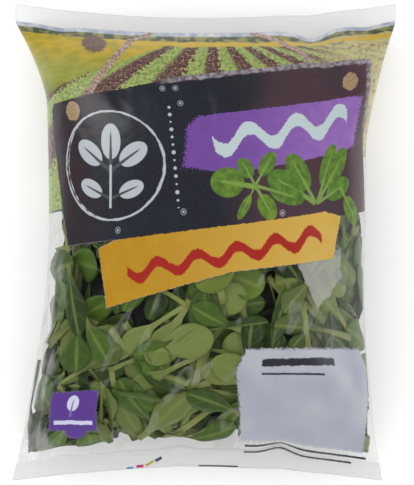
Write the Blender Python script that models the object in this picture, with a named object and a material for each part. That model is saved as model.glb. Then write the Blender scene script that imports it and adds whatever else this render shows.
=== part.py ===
"""A sealed pillow bag filled with salad leaves, lying on its back.

The bag is a tube of thin film, closed by a flat seal at each end and swollen
by the leaves inside. It lies with its printed front up: +Z is up, +Y points
to the top seal and +X to the right of the front. The origin is at the middle
of the bag's outline, on the surface that the bag lies on. Lengths are metres.
"""
import math

import bmesh
import bpy

# --- Driving dimensions -----------------------------------------------------
FILM_WIDTH = 0.260       # the flat tube, shown at full width by the end seals
BAG_LENGTH = 0.326       # from seal corner to seal corner
WAIST_WIDTH = 0.214      # the filled pillow across its middle
PILLOW_DEPTH = 0.088     # lying thickness where the bag is fullest
SEAL_LENGTH = 0.014      # width of the flat, welded strip at each end
SEAL_THICKNESS = 0.0016  # two films and their small crimps
SEAL_SAG = 0.011         # how far the filling draws in the middle of a seal
SEAL_LEVEL = 0.030       # height of the seals above the resting surface
CORNER_DROOP = 0.012     # how far the four empty corners hang below that

# Each end tapers on its own: the leaves have settled away from the top seal,
# and a loose, empty wing of film is left at the bottom corners.
TOP_TAPER = 0.090
BOTTOM_TAPER = 0.125
LEFT_TOP_FLARE = 0.055   # length over which each side widens to the top seal
RIGHT_TOP_FLARE = 0.085
TOP_FLARE_CURVE = 1.4    # above 1, a flare starts gently and ends steeply
BOTTOM_FLARE = 0.165
BOTTOM_FLARE_CURVE = 1.9
LEFT_WING = 0.023
RIGHT_WING = 0.017
BOW = 0.0026             # how far the middle bends to the right of both seals
BOW_PLACE = 0.030
BOW_LENGTH = 0.090

# The section goes from a lens at the seals to a boxier oval in the middle.
LENS_POWER = 1.35
OVAL_POWER = 2.40
SIDE_ROUNDING = 1.25     # how much film the rounded sides take up
ROUND_START = 0.050      # distance from a seal at which the section is fully oval

# Folds start at the seals and run into the pillow: place across, slant, depth.
PLEATS = ((-0.74, 0.9, 0.0050), (-0.42, 0.5, 0.0030), (-0.05, -0.2, 0.0022),
          (0.33, -0.6, 0.0042), (0.70, -0.8, 0.0048))
PLEAT_WIDTH = 0.07       # as a share of half the film's width
PLEAT_START = 0.008
PLEAT_LENGTH = 0.040
TUCK_DEPTH = 0.0018      # small buckles along the two sides

# Only film that stands well clear of the other side shows folds and leaves.
FREE_FILM = 0.004
PRESSED_DEPTH = 0.006    # how far the filling is flattened where it lies

# The film is a net of squares, twice: once for the front, once for the back.
CELLS_ACROSS = 40
CELLS_ALONG = 54
SEAL_CELLS = 2           # rows of squares in each seal


def ease(share):
    """Zero below 0, one above 1, and a smooth rise between."""
    share = min(max(share, 0.0), 1.0)
    return share * share * (3.0 - 2.0 * share)


def swell(share):
    """A rise that starts steeply and rounds off, like film over a filling."""
    share = min(max(share, 0.0), 1.0)
    return (1.0 - (1.0 - share) ** 2.0) ** 0.85


def bump(distance, width):
    """A single soft ridge."""
    return math.exp(-(distance / width) ** 2)


def half_length(across):
    """Distance from the middle to a seal's outer edge, drawn in mid-seal."""
    return BAG_LENGTH / 2 - SEAL_SAG * (1.0 - across * across)


def half_width(y, side):
    """Distance from the middle to one side of the pillow at a place along."""
    full, waist = FILM_WIDTH / 2, WAIST_WIDTH / 2
    wing = LEFT_WING if side < 0 else RIGHT_WING
    from_top = (BAG_LENGTH / 2 - SEAL_LENGTH - y) / (LEFT_TOP_FLARE if side < 0 else RIGHT_TOP_FLARE)
    from_bottom = (BAG_LENGTH / 2 + y) / BOTTOM_FLARE
    top_flare = (full - waist) * max(0.0, 1.0 - max(from_top, 0.0)) ** TOP_FLARE_CURVE
    bottom_flare = wing * max(0.0, 1.0 - from_bottom) ** BOTTOM_FLARE_CURVE
    return waist + top_flare + bottom_flare - side_tucks(y, side)


def side_tucks(y, side):
    """Small buckles where the film folds in along its two sides."""
    wave = math.sin(y / 0.0135 + side * 1.3) * math.sin(y / 0.031 + side)
    return TUCK_DEPTH * wave * fullness(y)


def fullness(y):
    """How full the bag is along its length: 0 at the seals, 1 in the middle."""
    inner = BAG_LENGTH / 2 - SEAL_LENGTH
    return swell((inner - y) / TOP_TAPER) * swell((inner + y) / BOTTOM_TAPER)


def seal_pleats(across, y):
    """Folds that run from the ends into the pillow, deepest near the seals."""
    inner = BAG_LENGTH / 2 - SEAL_LENGTH
    end = 1 if y > 0 else -1
    from_end = max(inner - abs(y), 0.0)
    fade = (1.0 - math.exp(-from_end / PLEAT_START)) * math.exp(-from_end / PLEAT_LENGTH)
    depth = 0.0
    for start, lean, size in PLEATS:
        middle = start * end + lean * end * from_end / FILM_WIDTH
        depth += size * bump(across - middle, PLEAT_WIDTH)
    return depth * fade


def leaf_lumps(x, y):
    """The filling's unevenness, felt through the film."""
    return (0.0014 * math.sin(x / 0.017 + 1.1) * math.sin(y / 0.021 + 0.4)
            + 0.0009 * math.sin(x / 0.009 + y / 0.014))


def seal_height(across, y):
    """Height of the film's middle plane: level inside, drooping at corners."""
    end_share = ease((abs(y) - 0.09) / 0.07)
    droop = CORNER_DROOP * abs(across) ** 3 * end_share
    end = 1 if y > 0 else -1
    wave = 0.0016 * math.sin(across * 6.4 + end * 0.8) * end_share
    middle = PILLOW_DEPTH * 0.44
    return middle + (SEAL_LEVEL - middle) * end_share - droop + wave


def bag_point(across, along, front):
    """Where one point of the flat film lies on the filled bag."""
    seal_start = 1.0 - 2.0 * SEAL_CELLS / CELLS_ALONG
    end = 1 if along > 0 else -1
    reach = half_length(across)
    if abs(along) >= seal_start:
        y = end * (reach - SEAL_LENGTH * (1.0 - abs(along)) / (1.0 - seal_start))
    else:
        share = abs(along) / seal_start
        y = end * (reach - SEAL_LENGTH) * (1.25 * share - 0.25 * share ** 3)
    side = -1 if across < 0 else 1
    inner = BAG_LENGTH / 2 - SEAL_LENGTH
    in_pillow = ease((inner - abs(y)) / ROUND_START)
    rounded = math.copysign(1.0 - (1.0 - abs(across)) ** SIDE_ROUNDING, across)
    share_x = across + (rounded - across) * in_pillow
    x = half_width(y, side) * share_x + BOW * bump(y - BOW_PLACE, BOW_LENGTH) * in_pillow
    power = LENS_POWER + (OVAL_POWER - LENS_POWER) * in_pillow
    lens = max(1.0 - abs(share_x) ** power, 0.0) ** (1.0 / power)
    rise = PILLOW_DEPTH / 2 * fullness(y) * lens
    if rise > FREE_FILM:
        rise = max(rise + (leaf_lumps(x, y) - seal_pleats(across, y)) * lens, FREE_FILM)
    level = seal_height(across, y)
    if front:
        share = (PILLOW_DEPTH - level) / (PILLOW_DEPTH / 2)
        return x, y, level + SEAL_THICKNESS / 2 + rise * share
    share = (level + PRESSED_DEPTH) / (PILLOW_DEPTH / 2)
    return x, y, max(level - SEAL_THICKNESS / 2 - rise * share, 0.0)


def film_material():
    """Clear glossy film over green leaves, as one plain colour."""
    material = bpy.data.materials.new("salad_film")
    material.use_nodes = True
    shader = material.node_tree.nodes["Principled BSDF"]
    shader.inputs["Base Color"].default_value = (0.15, 0.22, 0.08, 1.0)
    shader.inputs["Roughness"].default_value = 0.25
    shader.inputs["Metallic"].default_value = 0.0
    return material


def make_bag(collection):
    """A flat two-layer net, bent layer by layer into the filled pillow."""
    net = bmesh.new()
    bmesh.ops.create_grid(net, x_segments=CELLS_ACROSS, y_segments=CELLS_ALONG, size=1.0)
    bmesh.ops.solidify(net, geom=net.faces[:], thickness=0.2)
    heights = [vertex.co.z for vertex in net.verts]
    middle = (min(heights) + max(heights)) / 2
    for vertex in net.verts:
        vertex.co = bag_point(vertex.co.x, vertex.co.y, vertex.co.z > middle)
    bmesh.ops.recalc_face_normals(net, faces=net.faces[:])
    mesh = bpy.data.meshes.new("salad_bag")
    net.to_mesh(mesh)
    net.free()
    mesh.materials.append(film_material())
    mesh.shade_smooth()
    bag = bpy.data.objects.new("salad_bag", mesh)
    collection.objects.link(bag)
    return bag


def main():
    for old in list(bpy.data.objects):
        bpy.data.objects.remove(old)
    collection = bpy.data.collections.new("bag_of_salad_leaves")
    bpy.context.scene.collection.children.link(collection)
    make_bag(collection)


main()
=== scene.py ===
# %% [markdown]
# # A bag of salad leaves
# This lesson builds a sealed, clear bag of lamb's lettuce that lies on its back.
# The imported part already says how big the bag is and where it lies, so the first
# step loads that frame. Everything after it is looks: the film, its print, the
# leaves behind the film, and a plain studio.

# %% Load the frame
import math

import bmesh
import bpy
import numpy as np
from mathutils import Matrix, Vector
from mathutils.bvhtree import BVHTree


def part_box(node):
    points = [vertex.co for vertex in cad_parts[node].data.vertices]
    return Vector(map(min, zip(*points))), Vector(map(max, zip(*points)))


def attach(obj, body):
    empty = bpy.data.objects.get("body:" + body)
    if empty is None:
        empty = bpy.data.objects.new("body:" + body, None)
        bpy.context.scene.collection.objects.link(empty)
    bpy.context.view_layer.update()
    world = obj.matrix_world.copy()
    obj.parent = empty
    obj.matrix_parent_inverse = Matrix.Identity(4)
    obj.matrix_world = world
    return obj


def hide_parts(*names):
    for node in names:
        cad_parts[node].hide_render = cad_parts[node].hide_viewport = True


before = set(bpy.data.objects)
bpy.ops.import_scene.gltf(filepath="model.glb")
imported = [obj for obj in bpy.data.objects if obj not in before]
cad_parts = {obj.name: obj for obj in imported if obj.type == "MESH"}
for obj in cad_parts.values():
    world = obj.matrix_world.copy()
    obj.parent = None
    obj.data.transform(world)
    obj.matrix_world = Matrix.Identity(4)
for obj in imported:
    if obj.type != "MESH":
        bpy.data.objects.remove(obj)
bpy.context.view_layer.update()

lowest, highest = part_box("salad_bag")
print("the bag's box in mm:", [round(1000 * value) for value in highest - lowest])

# %% [markdown]
# ## The film's own sizes
# A pillow bag starts as a flat tube of film. The seals at its two ends keep the
# tube's full width. The filling uses up width and length: the bag's waist is
# narrower than its seals, and the film is a little longer than the bag is. The
# bag also leans and bows a little, so that its foot sits left of its head. These
# few sizes drive all the rest, and they are the ones that the part was built from.

# %% Sizes of the film and of the filled bag
film_width = 0.260
bag_length = highest.y - lowest.y
film_length = bag_length + 0.007
waist_width = 0.214
bag_depth = 0.088
seal_length = 0.014
seal_sag = 0.011
seal_level = 0.030
corner_droop = 0.012
lean = 0.0075
bow = 0.0026
cell = 0.004
cells_across = round(film_width / cell)
cells_along = round(film_length / cell)
seal_cells = round(seal_length / cell)
print("film cells:", cells_across, "by", cells_along, "on each side")


def ease(share):
    """Zero below 0, one above 1, and a smooth rise between."""
    share = min(max(share, 0.0), 1.0)
    return share * share * (3.0 - 2.0 * share)


def swell(share):
    """A rise that starts steeply and rounds off, like film over a filling."""
    share = min(max(share, 0.0), 1.0)
    return (1.0 - (1.0 - share) ** 2.0) ** 0.85


# %% [markdown]
# ## Where the flat film goes
# The bag could be modelled straight from its outside shape, but then its print
# would not wrap the way real film does. So each point of the flat tube is sent
# to its place on the filled pillow by one function, and the flat place is kept
# as the UV map. The function says how wide, how full and how high the bag is at
# each place along its length; both ends taper in their own way.

# %% The filled bag as a function of the flat film
inner_end = bag_length / 2 - seal_length


def half_width(y, side):
    """Distance from the middle to one side of the bag."""
    full, waist = film_width / 2, waist_width / 2
    wing, flare_length = (0.023, 0.055) if side < 0 else (0.017, 0.085)
    from_top = max((inner_end - y) / flare_length, 0.0)
    from_bottom = (bag_length / 2 + y) / 0.165
    top_flare = (full - waist) * max(0.0, 1.0 - from_top) ** 1.4
    return waist + top_flare + wing * max(0.0, 1.0 - from_bottom) ** 1.9


def fullness(y):
    """How full the bag is along its length: 0 at the seals, 1 in the middle."""
    return swell((inner_end - y) / 0.090) * swell((inner_end + y) / 0.125)


def middle_height(across, y):
    """Height of the film's middle plane: level inside, drooping at corners."""
    end_share = ease((abs(y) - 0.09) / 0.07)
    end = 1 if y > 0 else -1
    level = bag_depth * 0.44
    wave = 0.0016 * math.sin(across * 6.4 + end * 0.8)
    return level + (seal_level - level - corner_droop * abs(across) ** 3 + wave) * end_share


def seal_folds(x, end):
    """How far short folds pull the end of the pillow in and lift it."""
    folds = ((1, 0.071, 0.011, 0.0070), (1, 0.108, 0.008, 0.0022), (-1, 0.052, 0.010, 0.0055),
             (1, -0.098, 0.009, 0.0016), (-1, -0.016, 0.009, 0.0025), (-1, -0.094, 0.010, 0.0018))
    return sum(size * math.exp(-((x - place) / width) ** 2)
               for side, place, width, size in folds if side == end)


def filled_place(across, along, front):
    """Where a point of the flat film lies on the filled bag."""
    end = 1 if along > 0 else -1
    reach = bag_length / 2 - seal_sag * (1.0 - across * across)
    from_end = film_length / 2 * (1.0 - abs(along))
    if from_end <= seal_length:
        y = end * (reach - from_end)
    else:
        share = abs(along) * film_length / (film_length - 2 * seal_length)
        y = end * (reach - seal_length) * (1.105 * share - 0.105 * share ** 3)
    in_pillow = ease((inner_end - abs(y)) / 0.05)
    rounded = math.copysign(1.0 - (1.0 - abs(across)) ** 1.25, across)
    x_share = across + (rounded - across) * in_pillow
    x = half_width(y, across) * x_share
    level = middle_height(across, y)
    boxy = 1.35 + 1.05 * in_pillow
    rise = fullness(y) * max(1.0 - abs(x_share) ** boxy, 0.0) ** (1.0 / boxy)
    near_seal = math.exp(-((from_end - seal_length) / 0.009) ** 2)
    fold = seal_folds(x, end) * near_seal
    y -= end * fold
    level += 0.6 * fold
    x += lean * y + bow * math.exp(-((y - 0.03) / 0.09) ** 2)
    film_gap = 0.00015
    if front:
        return x, y, level + film_gap + rise * (bag_depth - level)
    return x, y, level - film_gap - rise * level


# %% [markdown]
# ## The net of film
# The tube is two flat grids, one for the front and one for the back, welded
# along all four edges: the two long edges are where the tube folds over, and
# the two short ones are the ends. It is one closed surface, with no wall
# thickness, because film is far thinner than anything else here.

# %% Make the net and remember each point's flat place
net = bmesh.new()
bmesh.ops.create_grid(net, x_segments=cells_across, y_segments=cells_along, size=1.0)
copied = bmesh.ops.duplicate(net, geom=net.verts[:] + net.edges[:] + net.faces[:])
back_points = [item for item in copied["geom"] if isinstance(item, bmesh.types.BMVert)]
back_faces = [item for item in copied["geom"] if isinstance(item, bmesh.types.BMFace)]
bmesh.ops.reverse_faces(net, faces=back_faces)
layer_gap = 0.01
for point in back_points:
    if max(abs(point.co.x), abs(point.co.y)) < 1.0 - 1e-4:
        point.co.z = -layer_gap
bmesh.ops.remove_doubles(net, verts=net.verts[:], dist=layer_gap / 10)
net.verts.index_update()
flat = np.array([point.co[:] for point in net.verts])
is_front = flat[:, 2] > -layer_gap / 2

film_mesh = bpy.data.meshes.new("film")
wrap = net.loops.layers.uv.new("film")
for face in net.faces:
    on_back = face.calc_center_median().z < -layer_gap / 4
    for corner in face.loops:
        across, along = corner.vert.co.x, corner.vert.co.y
        around = film_width / 2 * (2.0 - across if on_back else across)
        corner[wrap].uv = (around, along * film_length / 2)
net.to_mesh(film_mesh)
net.free()
start = np.array([filled_place(across, along, front)
                  for (across, along), front in zip(flat[:, :2], is_front)])
print("film points:", len(flat), "faces:", len(film_mesh.polygons))

# %% [markdown]
# ## Let the film settle
# The function gives a smooth balloon, but film can't stretch: where the filled
# shape asks for less film than there is, it has to buckle into small folds. A
# short cloth simulation does that. The filled shape is the start, the flat tube
# is the rest shape, the seals are pinned, a little pressure stands for the
# filling, and the floor presses the underside flat. Blender's cloth is tuned
# for garments, so the bag is simulated at ten times its size.

# %% Simulate the film
sim_scale = 10.0


def settle_film(mesh, start, flat):
    """Runs the cloth on a copy of the net and returns the settled places."""
    cloth_mesh = mesh.copy()
    cloth = bpy.data.objects.new("cloth", cloth_mesh)
    bpy.context.scene.collection.objects.link(cloth)
    cloth_mesh.vertices.foreach_set("co", (start * sim_scale).ravel())
    cloth.shape_key_add(name="filled")
    rest = cloth.shape_key_add(name="flat")
    flat_size = np.array([film_width / 2, film_length / 2, 0.03]) * sim_scale
    rest.data.foreach_set("co", (flat * flat_size).ravel())
    rest.value = 0.0
    in_seal = np.abs(flat[:, 1]) > 1.0 - 2.0 * (seal_cells - 0.5) / cells_along
    for name, chosen in (("pinned", in_seal), ("pillow", ~in_seal)):
        group = cloth.vertex_groups.new(name=name)
        group.add([int(index) for index in np.flatnonzero(chosen)], 1.0, "REPLACE")
    modifier = cloth.modifiers.new("film", "CLOTH")
    film = modifier.settings
    film.quality = 6
    film.mass = 0.15
    film.air_damping = 4.0
    film.tension_stiffness = film.compression_stiffness = 60.0
    film.shear_stiffness = 30.0
    film.bending_stiffness = 0.05
    film.tension_damping = film.compression_damping = film.shear_damping = 25.0
    film.bending_damping = 0.5
    film.rest_shape_key = rest
    film.use_pressure = True
    film.uniform_pressure_force = 1.2
    film.vertex_group_pressure = "pillow"
    film.vertex_group_mass = "pinned"
    film.effector_weights.gravity = 0.0
    modifier.collision_settings.use_self_collision = False
    table_mesh = bpy.data.meshes.new("table")
    plane = bmesh.new()
    bmesh.ops.create_grid(plane, x_segments=1, y_segments=1, size=3.0)
    plane.to_mesh(table_mesh)
    plane.free()
    table = bpy.data.objects.new("table", table_mesh)
    bpy.context.scene.collection.objects.link(table)
    table.modifiers.new("stop", "COLLISION")
    last_frame = 20
    modifier.point_cache.frame_end = last_frame
    for number in range(1, last_frame + 1):
        bpy.context.scene.frame_set(number)
    settled = cloth.evaluated_get(bpy.context.evaluated_depsgraph_get()).data
    places = np.empty(len(flat) * 3)
    settled.vertices.foreach_get("co", places)
    for extra in (cloth, table):
        bpy.data.objects.remove(extra)
    bpy.context.scene.frame_set(1)
    return places.reshape(-1, 3) / sim_scale


places = settle_film(film_mesh, start, flat)
places[:, 2] -= places[:, 2].min()
print("settled box in mm:", np.round(1000 * (places.max(0) - places.min(0)), 1))

# %% [markdown]
# ## The film as a map
# The leaves press against the film from inside, so they are placed by the same
# flat map: so far round the tube, so far along it, and so deep behind the film.
# The net's points are put in a table with one column for each step round the
# girth. From it come the place, the inward direction and the room behind the
# film at any point, by blending the four nearest table entries.

# %% Build the table and the function that reads it
columns = 2 * cells_across
film_mesh.vertices.foreach_set("co", places.ravel())
film_mesh.update()
column = np.rint((flat[:, 0] + 1.0) / 2.0 * cells_across).astype(int)
column = np.where(is_front, column, columns - column) % columns
row = np.rint((flat[:, 1] + 1.0) / 2.0 * cells_along).astype(int)
table_of = np.zeros((cells_along + 1, columns), int)
table_of[row, column] = np.arange(len(flat))
for end_row in (0, cells_along):
    for place in range(1, cells_across):
        table_of[end_row, columns - place] = table_of[end_row, place]

normals = np.array([point.normal[:] for point in film_mesh.vertices])[table_of]
grid = places[table_of]
for _ in range(3):
    normals = (np.roll(normals, 1, 1) + 2 * normals + np.roll(normals, -1, 1)) / 4
    normals[1:-1] = (normals[:-2] + 2 * normals[1:-1] + normals[2:]) / 4
normals /= np.linalg.norm(normals, axis=2, keepdims=True)

tree = BVHTree.FromPolygons([Vector(p) for p in places], [f.vertices[:] for f in film_mesh.polygons])
room = np.zeros(grid.shape[:2])
for r, c in np.ndindex(*room.shape):
    inward = Vector(-normals[r, c])
    hit = tree.ray_cast(Vector(grid[r, c]) + inward * 0.0006, inward, 0.3)
    room[r, c] = hit[3] if hit[3] else 0.0
room[:seal_cells + 1] = room[-seal_cells - 1:] = 0.0
for _ in range(2):
    room = np.minimum(room, (np.roll(room, 1, 1) + np.roll(room, -1, 1)) / 2)
print("room behind the film in mm, widest:", round(1000 * float(room.max())))


def read_table(around, along, depth):
    """Places on the bag for flat places and depths, all in metres."""
    c = ((around + film_width / 2) / film_width * cells_across) % columns
    r = np.clip((along / film_length + 0.5) * cells_along, 0, cells_along - 1e-6)
    c0, r0 = np.floor(c).astype(int) % columns, np.floor(r).astype(int)
    c1, r1 = (c0 + 1) % columns, r0 + 1
    fc, fr = (c - np.floor(c))[..., None], (r - r0)[..., None]

    def blend(values):
        low = values[r0, c0] * (1 - fc) + values[r0, c1] * fc
        high = values[r1, c0] * (1 - fc) + values[r1, c1] * fc
        return low * (1 - fr) + high * fr

    limit = 0.40 * blend(room[..., None])[..., 0]
    depth = np.where(depth > 0, np.minimum(depth, limit), depth)
    return blend(grid) - blend(normals) * depth[..., None]


def behind_film(around, along, depth, margin=0.0):
    """As read_table, but the filling spans straight across the empty fold of film."""
    if np.max(margin) == 0.0:
        return read_table(around, along, depth)
    past = around - film_width / 2
    fold = np.rint(past / film_width)
    offset = past - fold * film_width
    margin = np.broadcast_to(np.maximum(margin, 1e-5), offset.shape)
    held = np.clip(offset, -margin, margin)
    share = ((held / margin + 1.0) / 2.0)[..., None]
    middle = film_width / 2 + fold * film_width
    before = read_table(np.where(offset < margin, np.minimum(offset, -margin), offset) + middle, along, depth)
    after = read_table(np.where(offset > -margin, np.maximum(offset, margin), offset) + middle, along, depth)
    return before * (1.0 - share) + after * share


# %% [markdown]
# ## Shader maths as Python
# A print is a lot of arithmetic on the flat film: how far from this edge, is
# this inside that shape. Math nodes can do it all, but wiring them by hand is
# hard to read. This small class wraps one socket, so that ordinary Python
# expressions add the nodes.

# %% A class that turns expressions into nodes
class Wire:
    """One output socket, or a plain number, that arithmetic can use."""

    def __init__(self, paper, socket):
        self.paper, self.socket = paper, socket

    def math(self, operation, *others, clamp=False):
        return self.paper.node("ShaderNodeMath", {"operation": operation, "use_clamp": clamp},
                               {i: value for i, value in enumerate((self, *others))})

    def __add__(self, other):
        return self.math("ADD", other)

    def __radd__(self, other):
        return self.math("ADD", other)

    def __sub__(self, other):
        return self.math("SUBTRACT", other)

    def __rsub__(self, other):
        return self.paper.number(other).math("SUBTRACT", self)

    def __mul__(self, other):
        return self.math("MULTIPLY", other)

    def __rmul__(self, other):
        return self.math("MULTIPLY", other)

    def __truediv__(self, other):
        return self.math("DIVIDE", other)

    def __rtruediv__(self, other):
        return self.paper.number(other).math("DIVIDE", self)

    def __neg__(self):
        return self.math("MULTIPLY", -1.0)

    def __abs__(self):
        return self.math("ABSOLUTE")

    def __pow__(self, other):
        return self.math("POWER", other)

    def low(self, other):
        return self.math("MINIMUM", other)

    def high(self, other):
        return self.math("MAXIMUM", other)

    def sin(self):
        return self.math("SINE")

    def split(self):
        """The first two parts of a vector."""
        parts = self.paper.tree.nodes.new("ShaderNodeSeparateXYZ")
        self.paper.feed(parts.inputs[0], self)
        return Wire(self.paper, parts.outputs[0]), Wire(self.paper, parts.outputs[1])

    def step(self, start, end):
        """0 at start, 1 at end, and a smooth rise between."""
        return self.paper.node("ShaderNodeMapRange", {"interpolation_type": "SMOOTHSTEP"},
                               {"Value": self, "From Min": start, "From Max": end})


class Paper:
    """A material's node tree, with one method for every kind of node."""

    def __init__(self, name):
        self.material = bpy.data.materials.new(name)
        self.material.use_nodes = True
        self.tree = self.material.node_tree
        self.shader = self.tree.nodes["Principled BSDF"]

    def node(self, kind, settings=None, values=None, output=0):
        made = self.tree.nodes.new(kind)
        for name, value in (settings or {}).items():
            setattr(made, name, value)
        for name, value in (values or {}).items():
            self.feed(made.inputs[name], value)
        return Wire(self, made.outputs[output])

    def feed(self, socket, value):
        if isinstance(value, Wire):
            self.tree.links.new(value.socket, socket)
        else:
            socket.default_value = value

    def number(self, value):
        return self.node("ShaderNodeMath", {"operation": "ADD"}, {0: float(value), 1: 0.0})

    def mix(self, share, first, second):
        """A colour: first where share is 0, second where it is 1."""
        made = self.tree.nodes.new("ShaderNodeMix")
        made.data_type = "RGBA"
        for index, value in ((0, share), (6, first), (7, second)):
            self.feed(made.inputs[index], value)
        return Wire(self, made.outputs[2])

    def noise(self, where, size, detail=2.0, rough=0.5):
        """A noise from 0 to 1 whose lumps are about size metres."""
        return self.node("ShaderNodeTexNoise", None,
                         {"Vector": where, "Scale": 1.0 / size, "Detail": detail, "Roughness": rough})

    def finish(self, **sockets):
        for name, value in sockets.items():
            self.feed(self.shader.inputs[name.replace("_", " ")], value)
        return self.material


def ink(red, green, blue):
    """A colour given as on a screen, 0 to 255, turned to linear light."""
    linear = [((v / 255 + 0.055) / 1.055) ** 2.4 if v > 10 else v / 255 / 12.92 for v in (red, green, blue)]
    return (*linear, 1.0)


# %% [markdown]
# ## Leaves
# Lamb's lettuce grows in small rosettes. Each leaf is a spoon: a long narrow
# stalk that widens into a rounded blade, soft and slightly cupped, with a pale
# midrib and a paler, greyer underside. One leaf is a small grid bent by a
# function and given a thickness with solidify, so that its two faces can have
# their own colours. A dozen differing leaves are enough, because each copy is
# bent again when it is laid in the bag.

# %% Model one spoon-shaped leaf
leaf_cells_across, leaf_cells_along = 6, 12
leaf_thickness = 0.00035


def spoon_leaf(length, width, stalk_share, cup, curl, ripple):
    """One flat-lying leaf: its points, faces, flat places and which side each point is on."""
    leaf = bmesh.new()
    bmesh.ops.create_grid(leaf, x_segments=leaf_cells_across, y_segments=leaf_cells_along, size=1.0)
    bmesh.ops.solidify(leaf, geom=leaf.faces[:], thickness=0.1)
    heights = [point.co.z for point in leaf.verts]
    middle = (min(heights) + max(heights)) / 2
    places, sides = [], []
    for point in leaf.verts:
        across, along = point.co.x, 1.0 - ((1.0 - point.co.y) / 2) ** 1.6
        upper = 1.0 if point.co.z > middle else 0.0
        blade = max((along - stalk_share) / (1.0 - stalk_share), 0.0)
        stalk = 0.0015 + 0.0010 * (1.0 - along)
        widest = 0.56
        if blade < widest:
            share = ease(blade / widest) ** 0.75
        else:
            share = math.sqrt(max(1.0 - ((blade - widest) / (1.0 - widest)) ** 2.2, 0.0))
        half = stalk * (1.0 - 0.9 * ease(blade * 3 - 2)) + (width / 2 - stalk) * share
        x = across * half
        y = length * along
        z = cup * across * across * half
        z += curl * length * (along - 0.5) ** 2
        z += ripple * 0.0016 * math.sin(along * 15 + across * 2) * abs(across) ** 2 * (half > 0.004)
        rib = 0.0009 * (1.25 - along) * (1.0 - across * across)
        z += leaf_thickness / 2 if upper else -leaf_thickness / 2 - rib
        places.append((x, y, z))
        sides.append((across, along, upper))
    leaf.verts.index_update()
    faces = [[point.index for point in face.verts] for face in leaf.faces]
    leaf.free()
    return np.array(places), np.array(sides), np.array(faces)


dice = np.random.default_rng(12)
leaf_kinds = []
for number in range(12):
    leaf_kinds.append(spoon_leaf(
        length=dice.uniform(0.044, 0.072), width=dice.uniform(0.0165, 0.0255),
        stalk_share=dice.uniform(0.26, 0.48), cup=dice.uniform(-0.10, 0.36),
        curl=dice.uniform(-0.25, 0.45), ripple=dice.uniform(0.2, 1.0)))
print("faces in one leaf:", len(leaf_kinds[0][2]))

# %% [markdown]
# ## Filling the bag
# Salad in a bag isn't a heap of single leaves in all directions: rosettes stay
# together, so several leaves fan out from one pale heart. Each rosette is put
# down in flat film coordinates and behind_film bends it to the bag. A leaf is
# tilted, rolled and sometimes turned over, and whatever would reach through
# the film is pressed flat against it, as the real leaves are.

# %% Lay leaves behind the film
contents_end = -film_length / 2 + 0.021
contents_top = film_length / 2 - 0.030


def empty_fold(along):
    """How much film is empty next to the side folds: most at the four corners."""
    low = np.clip((-0.065 - along) / 0.08, 0.0, 1.0)
    high = np.clip((along - 0.085) / 0.05, 0.0, 1.0)
    return 0.0005 + 0.0075 * low * low + 0.022 * high * high


def lay_leaf(kind, around, along, heading, depth, closest, tilt, roll, turned):
    """The points of one leaf, pressed inside the film."""
    shape, sides, _ = kind
    x, y, z = shape.T
    if turned:
        x, z = -x, -z
    z_mid = z - np.where(sides[:, 2] > 0.5, 1, -1) * (-1 if turned else 1) * leaf_thickness / 2
    thick = z - z_mid
    rolled_x = x * math.cos(roll) - z_mid * math.sin(roll)
    lift = x * math.sin(roll) + z_mid * math.cos(roll) + y * math.sin(tilt)
    run = y * math.cos(tilt)
    u = around + rolled_x * math.cos(heading) - run * math.sin(heading)
    v = along + rolled_x * math.sin(heading) + run * math.cos(heading)
    v = contents_end + np.abs(v - contents_end)
    v = contents_top - np.abs(contents_top - v)
    soft = np.logaddexp(0.0, (depth - lift - closest) / 0.0008) * 0.0008 + closest
    return behind_film(u, v, soft - thick, empty_fold(v))


def leaf_piece(name, laid):
    """One mesh from many laid leaves, with colour attributes."""
    points = np.concatenate([places for places, _, _ in laid])
    counts = np.cumsum([0] + [len(places) for places, _, _ in laid[:-1]])
    faces = np.concatenate([kind[2] + first for (_, kind, _), first in zip(laid, counts)])
    mesh = bpy.data.meshes.new(name)
    mesh.from_pydata(points.tolist(), [], faces.tolist())
    sides = np.concatenate([kind[1] for _, kind, _ in laid])
    tones = np.concatenate([np.tile(tone, (len(places), 1)) for places, _, tone in laid])
    for label, values in (("across", sides[:, 0]), ("along", sides[:, 1]), ("upper", sides[:, 2]),
                          ("tone", tones[:, 0]), ("age", tones[:, 1])):
        mesh.attributes.new(label, "FLOAT", "POINT").data.foreach_set("value", values)
    mesh.shade_smooth()
    piece = bpy.data.objects.new(name, mesh)
    bpy.context.scene.collection.objects.link(piece)
    print(name, "leaves:", len(laid), "faces:", len(mesh.polygons))
    return piece


def rosette(middle_around, middle_along, depth, count, pressed):
    """Leaves that fan out from one heart, each pressed flat at its own depth."""
    laid = []
    main = dice.uniform(0, 2 * math.pi)
    tone = dice.uniform(0, 1)
    for number in range(count):
        kind = leaf_kinds[dice.integers(len(leaf_kinds))]
        heading = main + (number - (count - 1) / 2) * dice.uniform(0.35, 0.75) + dice.normal(0, 0.15)
        tilt = dice.normal(0.02, 0.16)
        roll = dice.normal(0, 0.55)
        turned = dice.uniform() < 0.42
        places = lay_leaf(kind, middle_around, middle_along, heading,
                          depth + dice.uniform(-0.002, 0.003), dice.uniform(*pressed),
                          tilt, roll, turned)
        laid.append((places, kind, (np.clip(tone + dice.normal(0, 0.2), 0, 1), dice.uniform(0, 1))))
    return laid


girth = 2 * film_width


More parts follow.
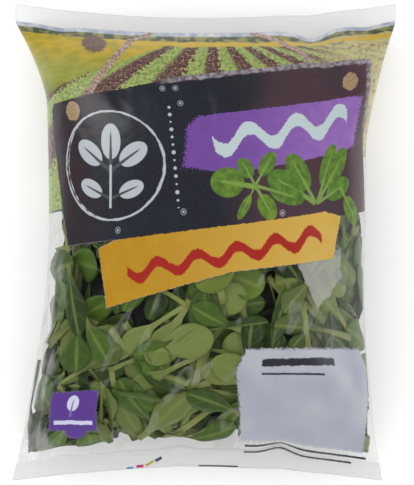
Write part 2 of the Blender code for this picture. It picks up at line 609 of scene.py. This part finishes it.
def fill(name, rosettes, depths, pressed, per_rosette):
    """Spreads rosettes evenly round the whole bag by a jittered grid."""
    laid = []
    across_count = round(math.sqrt(rosettes * girth / (contents_top - contents_end)))
    along_count = round(rosettes / across_count)
    for i in range(across_count):
        for j in range(along_count):
            around = (i + dice.uniform(0, 1)) / across_count * girth
            along = contents_end + (j + dice.uniform(0, 1)) / along_count * (contents_top - contents_end)
            count = int(dice.integers(per_rosette[0], per_rosette[1] + 1))
            laid += rosette(around, along, dice.uniform(*depths), count, pressed)
    return leaf_piece(name, laid)


deep_leaves = fill("deep_leaves", 118, (0.010, 0.016), (0.0055, 0.0095), (3, 5))
outer_leaves = fill("outer_leaves", 100, (0.003, 0.010), (0.0020, 0.0052), (3, 6))
loose_leaves = fill("loose_leaves", 100, (0.001, 0.006), (0.0008, 0.0019), (1, 2))

# %% [markdown]
# ## The heart of the filling
# Behind the first few layers of leaves nothing can be seen but shade. A smaller
# closed form fills that space, made from the same flat map, a finger's width
# behind the film, with lumps so that it reads as more leaves and not as a wall.
# Its near-black colour is painted shade.

# %% Make the dark core
core_depth = 0.0165
core_lump = 0.0035
core_net = bmesh.new()
bmesh.ops.create_grid(core_net, x_segments=104, y_segments=72, size=1.0)
core_flat = np.array([point.co[:] for point in core_net.verts])
core_around = core_flat[:, 0] * film_width
core_along = contents_end + 0.004 + (core_flat[:, 1] + 1) / 2 * (contents_top - contents_end - 0.008)
lumps = (np.sin(core_around / 0.0071 + 2 * np.sin(core_along / 0.013))
         * np.sin(core_along / 0.0083 + 2 * np.sin(core_around / 0.017)))
core_places = behind_film(core_around, core_along, core_depth + core_lump * lumps, empty_fold(core_along))
for point, place in zip(core_net.verts, core_places):
    point.co = place
bmesh.ops.remove_doubles(core_net, verts=core_net.verts[:], dist=0.0002)
bmesh.ops.holes_fill(core_net, edges=[edge for edge in core_net.edges if edge.is_boundary])
bmesh.ops.recalc_face_normals(core_net, faces=core_net.faces[:])
core_mesh = bpy.data.meshes.new("painted_shade_core")
core_net.to_mesh(core_mesh)
core_net.free()
core_mesh.shade_smooth()
painted_shade_core = bpy.data.objects.new("painted_shade_core", core_mesh)
bpy.context.scene.collection.objects.link(painted_shade_core)
print("core faces:", len(core_mesh.polygons))

# %% [markdown]
# ## The colours of a leaf
# A leaf is dark and fresh green on top, paler and greyer underneath, and almost
# white-green in its stalk. The mesh already says which point is where, so the
# material only reads those numbers. Every leaf also has its own tone, and a few
# are old enough to be turning yellow. There is no fine noise: wet leaves are
# smooth, and their gloss is soft.

# %% Leaf materials
def leaf_material():
    paper = Paper("lambs_lettuce")

    def read(label):
        return paper.node("ShaderNodeAttribute", {"attribute_name": label}, output=2)

    across, along, upper, tone, age = (read(label) for label in ("across", "along", "upper", "tone", "age"))
    where = paper.node("ShaderNodeTexCoord", output=3)
    patches = paper.noise(where, 0.012)
    top = paper.mix(tone, ink(26, 48, 2), ink(76, 108, 10))
    top = paper.mix(patches.step(0.35, 0.75) * 0.5, top, ink(44, 78, 2))
    under = paper.mix(tone, ink(70, 86, 26), ink(108, 122, 54))
    blade = paper.mix(upper, under, top)
    veins = ((along * 11.0 - abs(across) * 1.6 + tone * 7.0) * 3.14).sin().step(0.82, 1.0)
    midrib = 1.0 - abs(across).step(0.05, 0.22)
    blade = paper.mix((midrib * 0.55).high(veins * 0.22), blade, ink(112, 130, 56))
    stalk = 1.0 - along.step(0.18, 0.52)
    colour = paper.mix(stalk * 0.8, blade, ink(124, 132, 70))
    colour = paper.mix(age.step(0.93, 1.0) * 0.4, colour, ink(128, 130, 44))
    return paper.finish(Base_Color=colour, Roughness=0.42, Subsurface_Weight=0.0)


def painted_shade_material():
    paper = Paper("shaded_leaves")
    # The near-black colour is painted shade: it stands for leaves deep in shadow.
    where = paper.node("ShaderNodeTexCoord", output=3)
    colour = paper.mix(paper.noise(where, 0.010).step(0.35, 0.65), ink(16, 18, 26), ink(22, 30, 16))
    return paper.finish(Base_Color=colour, Roughness=0.6)


leaf_looks = leaf_material()
for piece in (deep_leaves, outer_leaves, loose_leaves):
    piece.data.materials.append(leaf_looks)
painted_shade_core.data.materials.append(painted_shade_material())
print("nodes in the leaves' material:", len(leaf_looks.node_tree.nodes))

# %% [markdown]
# ## Drawing with distances
# The print is drawn on the flat film, in millimetres, before anything is bent:
# that is how the real film is printed, and the UV map carries it round the bag.
# Every shape is a distance: how far inside a stroke, a polygon or a leaf a
# point lies. Noise added to the distance gives a torn or chalky edge, and a
# smooth step turns the distance into a mask that an ink can follow.

# %% Shapes as distances on the flat film
class Sheet:
    """The flat film in a shader: u across and v along in millimetres, and both as a place."""

    def __init__(self, paper, u, v, place):
        self.paper, self.u, self.v, self.place = paper, u, v, place

    def slope(self, by_u, by_v, rest):
        """by_u * u + by_v * v + rest, in two nodes."""
        return self.u.math("MULTIPLY_ADD", by_u, self.v.math("MULTIPLY_ADD", by_v, rest))

    def grain(self, size, detail=2.0, rough=0.5):
        return self.paper.noise(self.place, size, detail, rough)

    def uneven(self, size, amount, detail=2.0):
        """Unevenness of about amount, in lumps of about size."""
        return (self.grain(size, detail) - 0.5) * (2.6 * amount)

    def drawn_out(self, heading, longer, size, detail=2.0):
        """Grain that is longer along a heading."""
        turned = self.paper.node("ShaderNodeMapping", {"vector_type": "TEXTURE"},
                                 {"Vector": self.place, "Scale": (longer, 1.0, 1.0),
                                  "Rotation": (0.0, 0.0, math.radians(heading))})
        return self.paper.noise(turned, size, detail)


def turn_to(sheet, middle, run, rise, size=(1.0, 1.0)):
    """Places along and beside a direction, from a middle, in units of size."""
    length = math.hypot(run, rise)
    c, s = run / length, rise / length
    along = sheet.slope(c / size[0], s / size[0], -(middle[0] * c + middle[1] * s) / size[0])
    aside = sheet.slope(-s / size[1], c / size[1], (middle[0] * s - middle[1] * c) / size[1])
    return along, aside


def reach(x, y):
    """How far x and y lead from their zero."""
    return x.math("MULTIPLY_ADD", x, y * y).math("SQRT")


def edge(sheet, first, second):
    """Distance from a line, positive on its left, looking from first to second."""
    run, rise = second[0] - first[0], second[1] - first[1]
    length = math.hypot(run, rise)
    rest = (rise * first[0] - run * first[1]) / length
    return sheet.slope(-rise / length, run / length, rest)


def inside(sheet, *corners):
    """Distance inside a shape whose corners run anticlockwise."""
    least = None
    for first, second in zip(corners, corners[1:] + corners[:1]):
        distance = edge(sheet, first, second)
        least = distance if least is None else least.low(distance)
    return least


def oval(sheet, middle, size):
    """How far out a point is from an oval's middle: 1 at its rim."""
    x = sheet.u.math("MULTIPLY_ADD", 1.0 / size[0], -middle[0] / size[0])
    y = sheet.v.math("MULTIPLY_ADD", 1.0 / size[1], -middle[1] / size[1])
    return reach(x, y)


def stroke(sheet, first, second, width):
    """Distance inside a straight stroke between two points."""
    run, rise = second[0] - first[0], second[1] - first[1]
    middle = ((first[0] + second[0]) / 2, (first[1] + second[1]) / 2)
    along, aside = turn_to(sheet, middle, run, rise)
    return (math.hypot(run, rise) / 2 - abs(along)).low(width / 2 - abs(aside))


def wave(sheet, first, second, width, swing, length):
    """Distance inside a wavy brush line between two points."""
    run, rise = second[0] - first[0], second[1] - first[1]
    middle = ((first[0] + second[0]) / 2, (first[1] + second[1]) / 2)
    along, aside = turn_to(sheet, middle, run, rise)
    off_line = aside - swing * (along * (2 * math.pi / length)).sin()
    steepness = math.hypot(1.0, 3.5 * swing / length)
    return (math.hypot(run, rise) / 2 - abs(along)).low((width / 2 - abs(off_line)) / steepness)


def spoon(sheet, heart, tip, width):
    """Masks for a flat spoon-shaped leaf and for its stalk and midrib."""
    run, rise = tip[0] - heart[0], tip[1] - heart[1]
    along, aside = turn_to(sheet, heart, run, rise, (math.hypot(run, rise), width / 2))
    blade = 1.0 - reach((along - 0.64) / 0.36, aside).step(0.95, 1.03)
    line = (0.16 * (1.25 - along) - abs(aside)).step(-0.04, 0.04) * along.step(-0.02, 0.02)
    rib = line * (1.0 - along.step(0.72, 0.9))
    return blade.high(rib), rib


class Inks:
    """The inks laid so far: their colour, and how well they cover the film."""

    def __init__(self, paper, bare):
        self.paper, self.colour, self.cover = paper, bare, None

    def lay(self, mask, colour, strength=1.0):
        self.colour = self.paper.mix(mask, self.colour, colour)
        laid = mask * strength
        self.cover = laid if self.cover is None else self.cover.high(laid)


# %% [markdown]
# ## The printed landscape
# A band across the top of the film shows farmland: a strip of sky, a hedge, a
# yellow field, and rows of salad in stony soil that run to one far point. Rows
# that meet at a far point are easy in this kind of drawing: the slope of the
# line from the far point decides the row. The band goes round the whole bag,
# and on the back it is the mirror image, so that both folds match.

# %% Draw the landscape
def draw_landscape(whole):
    paper = whole.paper
    from_fold = abs(whole.u - 130.0)
    u, v = 130.0 - from_fold, whole.v
    sheet = Sheet(paper, u, v, whole.place)
    fine = sheet.grain(2.3, 3.0, 0.62)
    broad = sheet.grain(7.0)
    slope = (u - 5.0) / (163.0 - v).high(6.0)
    slope = slope + 0.3 * (-slope - 0.3).high(0.0)
    rows = (slope * 13.1 - 1.3 + (fine - 0.5) * 4.0).sin()
    soil = paper.mix(fine.step(0.46, 0.68), ink(82, 54, 50), ink(124, 98, 88))
    soil = paper.mix(sheet.grain(1.4, 1.0).step(0.60, 0.70), soil, ink(168, 156, 136))
    crop = paper.mix(fine.step(0.35, 0.65), ink(108, 128, 62), ink(156, 168, 102))
    ground = paper.mix(rows.step(-0.2, 0.2), soil, crop)
    tired = paper.mix(sheet.grain(4.0, 3.0).step(0.52, 0.62), ink(184, 178, 126), ink(152, 122, 110))
    ground = paper.mix(u.step(58.0, 100.0) * 0.75, ground, tired)
    smear = sheet.drawn_out(12.0, 3.0, 4.0, 3.0)
    meadow = paper.mix(v.step(92.0, 112.0), ink(92, 106, 18), ink(146, 146, 64))
    meadow = paper.mix(v.step(116.0, 134.0), meadow, ink(176, 150, 46))
    meadow = paper.mix(smear.step(0.4, 0.62) * 0.5, meadow, ink(124, 130, 44))
    in_meadow = edge(sheet, (-104.0, 104.0), (-18.0, 144.0)) + sheet.uneven(3.0, 1.6)
    ground = paper.mix(in_meadow.step(-1.0, 1.0), ground, meadow)
    strip = stroke(sheet, (-60.0, 142.5), (130.0, 141.0), 4.4) + sheet.uneven(20.0, 2.0)
    ground = paper.mix(strip.step(-0.5, 0.7), ground, ink(182, 154, 58))
    hedge = paper.mix(broad.step(0.42, 0.6), ink(66, 76, 58), ink(132, 128, 78))
    ground = paper.mix((v + sheet.uneven(12.0, 1.6) - 144.6).step(-0.5, 0.5), ground, hedge)
    bush = 1.0 - (oval(sheet, (-77.0, 139.0), (10.0, 8.5)) + sheet.uneven(2.0, 0.3)).step(0.75, 1.05)
    ground = paper.mix(bush, ground, paper.mix(fine, ink(60, 44, 40), ink(132, 106, 96)))
    sky = paper.mix(broad.step(0.35, 0.7), ink(142, 152, 168), ink(188, 190, 196))
    ground = paper.mix((v + sheet.uneven(25.0, 0.8) - 149.6).step(-0.3, 0.4), ground, sky)
    twine = stroke(whole, (-36.0, 153.0), (-51.0, 144.0), 3.0)
    twine = twine.high(stroke(whole, (-50.0, 145.0), (-82.0, 100.0), 4.6))
    for first, second in (((30.0, 153.0), (46.0, 146.0)), ((45.0, 147.0), (64.0, 132.0)),
                          ((63.0, 133.0), (71.0, 118.0))):
        twine = twine.high(stroke(whole, first, second, 3.4))
    hemp = paper.mix(fine.step(0.4, 0.6), ink(130, 104, 94), ink(172, 148, 136))
    ground = paper.mix((twine + sheet.uneven(1.2, 0.35)).step(-0.3, 0.3), ground, hemp)
    lower_border = v - 55.0 + 0.142 * from_fold
    return lower_border.step(-0.6, 0.6) * (153.2 - v).step(-0.3, 0.3), ground


# %% [markdown]
# ## The printed board, labels and leaves
# A chalkboard hangs from two cords. On it are a chalk ring with a sprig, a
# purple brush mark and two printed rosettes; below it are a yellow paper strip,
# a small purple badge and a pale box for a date. The words and signs of a real
# pack are left out: plain brush strokes and bars stand where they would be.

# %% Draw the board and what is on it
def draw_board(sheet, inks):
    paper, u, v = sheet.paper, sheet.u, sheet.v
    chalk = sheet.grain(1.1, 3.0, 0.7)
    board = inside(sheet, (-102.0, -2.0), (126.0, 19.5), (121.0, 76.0), (114.0, 121.5), (62.0, 122.5),
                   (21.0, 119.0), (-25.0, 112.5), (-66.0, 102.0), (-117.0, 90.0), (-120.5, 84.0),
                   (-117.0, 58.0), (-110.0, 26.0))
    board = board + sheet.uneven(2.5, 0.5)
    slate = paper.mix((u + sheet.uneven(40.0, 22.0)).step(-100.0, -62.0), ink(50, 36, 42), ink(30, 32, 42))
    slate = paper.mix((u - 0.15 * v + sheet.uneven(40.0, 22.0)).step(-2.0, 34.0), slate, ink(70, 47, 56))
    slate = paper.mix(sheet.grain(26.0).step(0.45, 0.7) * 0.35, slate, ink(26, 44, 54))
    slate = paper.mix(chalk.step(0.5, 0.9) * 0.10, slate, ink(200, 200, 205))
    inks.lay(board.step(-0.3, 0.3), slate)
    rim = (2.6 - board + sheet.uneven(5.0, 2.2, 4.0)).step(-0.8, 1.0) * u.step(-34.0, -20.0)
    rim = rim * (v - 60.0).step(0.0, 25.0)
    stone = paper.mix(sheet.grain(3.6, 4.0, 0.6).step(0.34, 0.66), ink(92, 80, 86), ink(150, 142, 148))
    inks.lay(rim * (board + 1.2).step(-0.4, 0.4), stone)
    for middle in ((-97.5, 85.0), (98.5, 106.5)):
        eyelet = oval(sheet, middle, (6.6, 6.8)) + sheet.uneven(3.0, 0.16)
        inks.lay(1.0 - eyelet.step(0.92, 1.06),
                 paper.mix(chalk.step(0.3, 0.7), ink(120, 96, 66), ink(172, 148, 112)))

    white = ink(170, 176, 182)
    ring = oval(sheet, (-65.9, 50.5), (38.4, 36.0))
    second_ring = oval(sheet, (-65.2, 51.0), (37.4, 36.6))
    first_line = 0.020 - abs(ring - 1.0) + sheet.uneven(7.0, 0.016)
    second_line = 0.008 - abs(second_ring - 0.985) + sheet.uneven(6.0, 0.022)
    broken = sheet.grain(11.0).step(0.30, 0.36)
    inks.lay((first_line * 37.0).step(-0.25, 0.35) * broken, white)
    inks.lay((second_line * 37.0).step(-0.2, 0.3) * broken, white)
    sprig = ((-66.0, 44.0, -66.0, 78.0, 15.0), (-66.0, 46.0, -92.0, 64.0, 14.0),
             (-66.0, 46.0, -40.0, 64.0, 14.0), (-66.0, 28.0, -90.0, 38.0, 11.0),
             (-66.0, 28.0, -42.0, 38.0, 11.0))
    stem = stroke(sheet, (-66.0, 22.0), (-66.0, 50.0), 1.8).step(-0.3, 0.3)
    for heart_u, heart_v, tip_u, tip_v, width in sprig:
        leaf, rib = spoon(sheet, (heart_u, heart_v), (tip_u, tip_v), width)
        stem = stem.high(leaf - 0.9 * rib)
    inks.lay(stem * chalk.step(0.18, 0.3), white)

    along, aside = turn_to(sheet, (-24.8, 93.4), 6.6, -71.6)
    count = along / 5.3
    whole = count.math("FLOOR")
    nearest = (count - whole - 0.5) * 5.3
    dots = (1.0 + 0.35 * (whole * 2.4).sin() - reach(nearest, aside)).step(-0.3, 0.3)
    inks.lay(dots * along.step(-0.1, 0.1) * (1.0 - along.step(71.0, 71.4)), white)
    for middle in ((-28.5, 105.0), (-20.0, 105.5), (-17.0, 94.0), (-15.0, 20.0), (-60.0, 8.0), (50.0, 19.0)):
        out = oval(sheet, middle, (1.9, 2.1))
        bead = (1.0 - out.step(0.25, 0.5)).high(0.45 * out.step(0.6, 0.8) * (1.0 - out.step(0.9, 1.2)))
        inks.lay(bead, white)

    swath = inside(sheet, (-17.0, 48.0), (3.0, 46.5), (30.0, 47.5), (112.0, 60.0), (113.5, 97.5),
                   (60.0, 92.0), (-4.0, 87.0), (-14.0, 78.0))
    ragged = (u - 100.0).step(0.0, 10.0).high(1.0 - u.step(-14.0, 4.0))
    swath = swath + sheet.uneven(2.0, 0.8) + (chalk - 0.5) * 14.0 * ragged - 1.4 * ragged
    purple = paper.mix(u.step(0.0, 100.0), ink(106, 66, 146), ink(138, 98, 170))
    purple = paper.mix(sheet.grain(8.0, 3.0).step(0.4, 0.7) * 0.25, purple, ink(96, 58, 134))
    inks.lay(swath.step(-0.3, 0.3), purple)
    name_mark = wave(sheet, (4.0, 66.0), (100.0, 80.5), 9.5, 6.5, 33.0)
    name_mark = name_mark + sheet.uneven(5.0, 0.9) + (chalk - 0.5) * 3.0
    inks.lay(name_mark.step(-0.3, 0.3), ink(176, 190, 192))


rosette_leaves = (
    ((75, 25), (40, 44), 18, 0.20), ((75, 25), (54, 57), 15, 0.35), ((76, 25), (91, 63), 12, 0.55),
    ((76, 25), (102, 60), 13, 0.45), ((76, 25), (105, 39), 13, 0.25), ((96, 35), (114, 12), 12, 0.50),
    ((31, 37), (21, 55), 10, 0.25), ((31, 37), (44, 59), 10, 0.45), ((31, 37), (20, 15), 6, 0.60),
    ((31, 37), (44, 15), 12, 0.75), ((31, 37), (66, 27), 12, 0.30), ((32, 36), (2, 41), 20, 0.55))


def draw_rosettes(sheet, inks):
    """Two printed rosettes; the last leaves hang over the board's lower edge."""
    paper = sheet.paper
    mottle = sheet.grain(5.0, 3.0)
    for heart, tip, width, warmth in rosette_leaves:
        leaf, rib = spoon(sheet, heart, tip, width)
        dark = ink(62 + 20 * warmth, 96 + 14 * warmth, 34)
        light = ink(86 + 24 * warmth, 124 + 16 * warmth, 44)
        green = paper.mix(mottle.step(0.3, 0.7), dark, light)
        inks.lay(leaf, paper.mix(rib * 0.7, green, ink(122, 150, 74)))


def draw_labels(sheet, inks):
    paper, u = sheet.paper, sheet.u
    chalk = sheet.grain(1.1, 3.0, 0.7)
    left_half = inside(sheet, (-65.6, -42.0), (24.0, -16.6), (24.0, 12.4), (-63.0, 1.5), (-74.6, -3.7))
    right_half = inside(sheet, (10.0, -19.4), (90.5, -10.0), (97.0, 16.5), (82.6, 19.6), (10.0, 10.6))
    banner = left_half.high(right_half) + sheet.uneven(2.4, 0.7) + (chalk - 0.5) * 1.2
    gold = paper.mix(u.step(-60.0, 90.0), ink(172, 126, 0), ink(196, 160, 72))
    gold = paper.mix(sheet.grain(14.0).step(0.4, 0.7) * 0.3, gold, ink(190, 148, 24))
    inks.lay(banner.step(-0.3, 0.3), gold)
    red_mark = wave(sheet, (-52.0, -20.0), (80.0, 5.0), 7.0, 4.2, 26.0)
    red_mark = red_mark + sheet.uneven(5.0, 0.8) + (chalk - 0.5) * 3.0
    inks.lay(red_mark.step(-0.3, 0.3), ink(156, 26, 14))

    badge = inside(sheet, (-105.5, -127.0), (-69.5, -131.0), (-66.0, -99.0), (-102.0, -98.0))
    badge = badge.high((1.0 - oval(sheet, (-85.0, -130.0), (8.0, 6.0))) * 6.0)
    badge = badge + sheet.uneven(2.0, 0.9) + (chalk - 0.5) * 5.0
    inks.lay(badge.step(-0.3, 0.3), ink(86, 54, 138))
    leaf, rib = spoon(sheet, (-88.0, -118.0), (-83.0, -101.5), 9.0)
    pale_bar = stroke(sheet, (-101.0, -121.0), (-72.0, -124.0), 3.2) + sheet.uneven(3.0, 0.5)
    inks.lay((leaf - 0.8 * rib).high(pale_bar.step(-0.3, 0.3)), ink(200, 200, 224))

    box = inside(sheet, (26.0, -143.0), (117.0, -145.0), (123.0, -80.0),
                 (114.5, -67.0), (27.0, -70.0), (20.5, -86.0))
    box = box + sheet.uneven(3.0, 1.0) + (chalk - 0.5) * 9.0
    white = paper.mix(sheet.grain(30.0, 1.0).step(0.3, 0.8), ink(156, 160, 174), ink(172, 174, 182))
    inks.lay(box.step(-0.4, 0.4), white)
    title = stroke(sheet, (37.0, -79.5), (90.0, -76.5), 5.4) + sheet.uneven(4.0, 0.9) + (chalk - 0.5) * 3.0
    lines = stroke(sheet, (37.0, -87.5), (82.0, -86.0), 1.5)
    lines = lines.high(stroke(sheet, (30.0, -147.5), (119.0, -150.5), 2.2))
    lines = lines.high(stroke(sheet, (30.0, -153.0), (108.0, -155.5), 1.5)) + (chalk - 0.5) * 2.4
    inks.lay(title.high(lines).step(-0.3, 0.3), ink(44, 42, 56))

    marks = (((-51.5, -164.8), (-47.0, -164.8), 2.2, ink(0, 130, 170)),
             ((-45.0, -164.0), (-40.0, -163.6), 2.4, ink(190, 30, 110)),
             ((-38.5, -163.6), (-33.0, -160.0), 2.0, ink(170, 160, 40)),
             ((-32.0, -160.4), (-27.5, -158.2), 2.4, ink(34, 38, 60)),
             ((-2.0, -165.0), (26.0, -165.0), 2.2, ink(34, 48, 66)))
    for first, second, width, colour in marks:
        inks.lay(stroke(sheet, first, second, width).step(-0.3, 0.3), colour)


# %% [markdown]
# ## Clear film
# Packing film is clear where it touches a leaf. It turns whiter where it is seen
# at a slant, and the welded ends have a fine haze of their own. Pale bands across
# the film, a streaky band by the left fold, a patch right of the middle and whiter
# film from the right of the front round the back are painted sheen and reflection.
# All of that is one number, the alpha of a single glossy shader: full under ink,
# low where the film is clear. The gloss is uneven, because tension leaves long
# shallow ripples in the film.

# %% The film's material
def film_material():
    paper = Paper("printed_film")
    flat_place = paper.node("ShaderNodeUVMap", {"uv_map": "film"})
    place = paper.node("ShaderNodeVectorMath", {"operation": "SCALE"}, {0: flat_place, 3: 1000.0})
    u, v = place.split()
    sheet = Sheet(paper, u, v, place)
    inks = Inks(paper, ink(212, 212, 214))
    inks.lay(*draw_landscape(sheet))
    draw_board(sheet, inks)
    draw_rosettes(sheet, inks)
    draw_labels(sheet, inks)

    facing = paper.node("ShaderNodeLayerWeight", None, {"Blend": 0.30}, output=1)
    near_end = abs(v).step(151.0, 153.5)
    # Pale slanted bands across the clear film are painted sheen, laid in as whiter film.
    sheen_band_noise = sheet.drawn_out(62.0, 2.4, 13.0, 1.0)
    painted_sheen_bands = sheen_band_noise.step(0.60, 0.64) * 0.10 * (1.0 - sheen_band_noise.step(0.64, 0.76))
    # A whiter, streaky band along the left fold, in the lower half, is painted sheen.
    sheen_streaks = sheet.drawn_out(82.0, 4.0, 7.0, 1.0).step(0.38, 0.62)
    side = (abs(u - 130.0) - 230.0 + sheet.uneven(16.0, 12.0)).step(0.0, 14.0) * (1.0 - v.step(-30.0, 10.0))
    side = side * (0.10 + 0.28 * sheen_streaks)
    # A pale patch right of the middle, below the banner, is a painted reflection.
    reflection_patch = inside(sheet, (60.0, -10.0), (78.0, -42.0), (98.0, -22.0), (97.0, -4.0))
    patches = (reflection_patch + sheet.uneven(9.0, 2.5)).step(-0.4, 0.4) * 0.34
    # Whiter film on the right of the front and all round the back is painted sheen.
    painted_right_sheen = (u + sheet.uneven(30.0, 20.0)).step(50.0, 100.0) * 0.07
    # This alpha sums the real haze (slant, seals, lap seam, bottom end) with the painted sheen and
    # reflection.
    haze_and_painted_sheen = 0.006 + 0.26 * facing * facing + painted_sheen_bands + painted_right_sheen
    empty_end = (-v).step(138.0, 152.0) * 0.10
    lap_seam = stroke(sheet, (245.0, -170.0), (245.0, 170.0), 15.0).step(-0.3, 0.3) * 0.22
    haze_and_painted_sheen = haze_and_painted_sheen.high(patches).high(side).high(near_end * 0.32).high(lap_seam) + empty_end
    ripples = sheet.drawn_out(20.0, 2.0, 9.0)
    bump = paper.node("ShaderNodeBump", None, {"Strength": 0.35, "Distance": 0.0008, "Height": ripples})
    return paper.finish(Base_Color=inks.colour, Roughness=0.16 + 0.12 * inks.cover, IOR=1.5,
                        Alpha=inks.cover.high(haze_and_painted_sheen), Normal=bump)


# %% [markdown]
# ## Put the film on
# The settled net gets its material, and one level of subdivision rounds the
# small squares off. The film is a single surface without wall thickness, so
# light passes it once on the way in and once on the way out.

# %% Make the film's object
film = bpy.data.objects.new("film", film_mesh)
bpy.context.scene.collection.objects.link(film)
film_mesh.shade_smooth()
film_mesh.materials.append(film_material())
smoother = film.modifiers.new("smooth", "SUBSURF")
smoother.levels = 1
smoother.render_levels = 1
print("film faces:", len(film_mesh.polygons),
      "nodes in its material:", len(film_mesh.materials[0].node_tree.nodes))

# %% [markdown]
# ## Attach the pieces to the frame
# The frame has one solid for the whole bag. The film takes its place, and the
# leaves ride along inside. Film and leaves carry their own materials.

# %% Connect the pieces to the frame
for piece, slot in ((film, "film"), (deep_leaves, "leaves"), (outer_leaves, "leaves"),
                    (loose_leaves, "leaves"), (painted_shade_core, "leaves")):
    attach(piece, "root")
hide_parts("salad_bag")

# %% [markdown]
# ## A plain studio
# Packs are usually shown on white, lit from all sides, with the camera straight
# above. Clear film would mirror an all-white room as a grey veil, so the room
# is darker for mirror reflections than it is as a light. Two large, weak lamps
# give the film its few soft highlights and keep a faint shadow on the floor.

# %% Floor, light and camera
floor_mesh = bpy.data.meshes.new("floor")
floor_net = bmesh.new()
bmesh.ops.create_grid(floor_net, x_segments=1, y_segments=1, size=3.0)
floor_net.to_mesh(floor_mesh)
floor_net.free()
floor = bpy.data.objects.new("floor", floor_mesh)
bpy.context.scene.collection.objects.link(floor)
floor_paper = Paper("floor")
floor_mesh.materials.append(floor_paper.finish(Base_Color=ink(252, 252, 252), Roughness=0.9,
                                           Emission_Color=(1.0, 1.0, 1.0, 1.0), Emission_Strength=0.10))

room_strength = 0.98
mirrored_strength = 0.15
scene = bpy.context.scene
world = bpy.data.worlds.new("studio")
world.use_nodes = True
tree = world.node_tree
light_path = tree.nodes.new("ShaderNodeLightPath")
room_light = tree.nodes["Background"]
room_light.inputs["Color"].default_value = (1.0, 1.0, 1.0, 1.0)
room_light.inputs["Strength"].default_value = room_strength
seen_in_gloss = tree.nodes.new("ShaderNodeBackground")
seen_in_gloss.inputs["Color"].default_value = (1.0, 1.0, 1.0, 1.0)
seen_in_gloss.inputs["Strength"].default_value = mirrored_strength
choose = tree.nodes.new("ShaderNodeMixShader")
tree.links.new(light_path.outputs["Is Glossy Ray"], choose.inputs[0])
tree.links.new(room_light.outputs[0], choose.inputs[1])
tree.links.new(seen_in_gloss.outputs[0], choose.inputs[2])
tree.links.new(choose.outputs[0], tree.nodes["World Output"].inputs["Surface"])
scene.world = world


def soft_lamp(name, place, size, power):
    """A square softbox that faces the bag."""
    lamp = bpy.data.lights.new(name, "AREA")
    lamp.size = size
    lamp.energy = power
    holder = bpy.data.objects.new(name, lamp)
    holder.location = place
    aim = Vector((0, 0, 0.04)) - Vector(place)
    holder.rotation_euler = aim.to_track_quat("-Z", "Y").to_euler()
    scene.collection.objects.link(holder)


soft_lamp("key", (-0.75, 0.55, 0.80), 0.6, 3.0)
soft_lamp("fill", (0.85, -0.35, 0.70), 0.5, 1.6)

camera_data = bpy.data.cameras.new("camera")
camera = bpy.data.objects.new("camera", camera_data)
scene.collection.objects.link(camera)
scene.camera = camera
camera_height = 1.5
frame_width = 0.2775
camera.location = (0.00255, 0.0, camera_height)
camera_data.sensor_fit = "HORIZONTAL"
camera_data.sensor_width = 36.0
camera_data.lens = 36.0 * (camera_height - seal_level) / frame_width
scene.view_settings.view_transform = "Standard"
print("camera lens:", round(camera_data.lens, 1), "mm")
